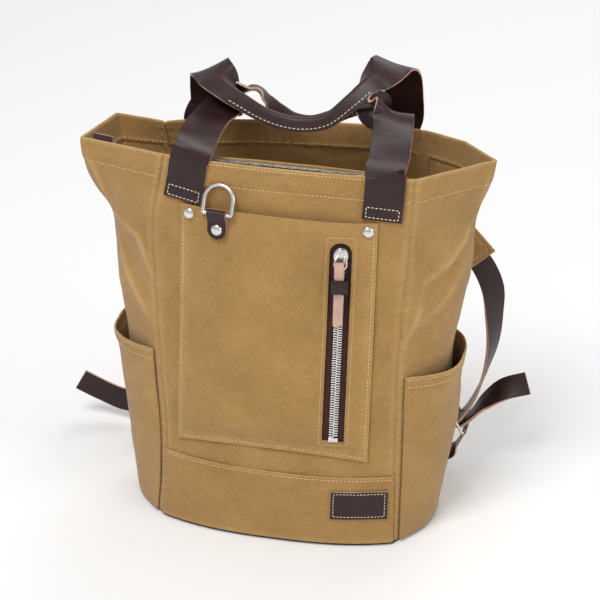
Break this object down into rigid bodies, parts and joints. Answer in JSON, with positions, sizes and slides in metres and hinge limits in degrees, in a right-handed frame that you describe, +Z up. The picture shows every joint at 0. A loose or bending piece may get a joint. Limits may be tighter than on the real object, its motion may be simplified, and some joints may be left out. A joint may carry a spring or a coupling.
{
  "type": "backpack",
  "caption": "Open-topped canvas backpack with two leather carrying handles, a zipped front pocket, side pockets, a D-ring and leather shoulder straps.",
  "frame": {"origin": "middle of the underside of the base", "axes": "+X to the right seen from the front, +Y to the back, where the shoulder straps are, +Z up to the mouth"},
  "size_m": [0.4926, 0.2144, 0.4755],
  "materials": {
    "canvas": "woven cotton canvas",
    "leather": "smooth oiled leather, soft sheen",
    "pale_leather": "flesh side, matte",
    "zip_tape": "woven tape",
    "nickel": "bright nickel plate"
  },
  "bodies": {
    "bag": {"front_panel": "canvas", "back_panel": "canvas", "gusset_left": "canvas", "gusset_right": "canvas", "base_panel": "leather", "bottom_band": "canvas", "leather_patch": "leather", "front_pocket": "canvas", "pocket_zip_tape": "zip_tape", "pocket_zip_teeth": "nickel", "pocket_zip_stop": "nickel", "pocket_zip_slider": "nickel", "pocket_zip_pull": "pale_leather", "pull_keeper": "leather", "pocket_rivet_left": "nickel", "pocket_rivet_right": "nickel", "d_ring_tab": "leather", "tab_rivet": "nickel", "inner_divider": "canvas", "mouth_zip_tape": "zip_tape", "mouth_zip_teeth": "nickel", "side_pocket_left": "canvas", "side_pocket_right": "canvas", "corner_tab": "leather", "front_handle": "leather", "back_handle": "leather", "shoulder_pad_right": "canvas", "shoulder_strap_right": "leather", "strap_buckle_right": "nickel", "lower_strap_right": "leather", "shoulder_pad_left": "canvas", "shoulder_strap_left": "leather", "strap_buckle_left": "nickel", "lower_strap_left": "leather"},
    "ring": {"d_ring": "nickel"}
  },
  "joints": [
    {"name": "ring_hinge", "type": "hinge", "parent": "bag", "child": "ring", "pos_m": [-0.06259, -0.08098, 0.34479], "axis": [0.9915, -0.1303, 0.0051], "range_deg": [0, 160]}
  ]
}
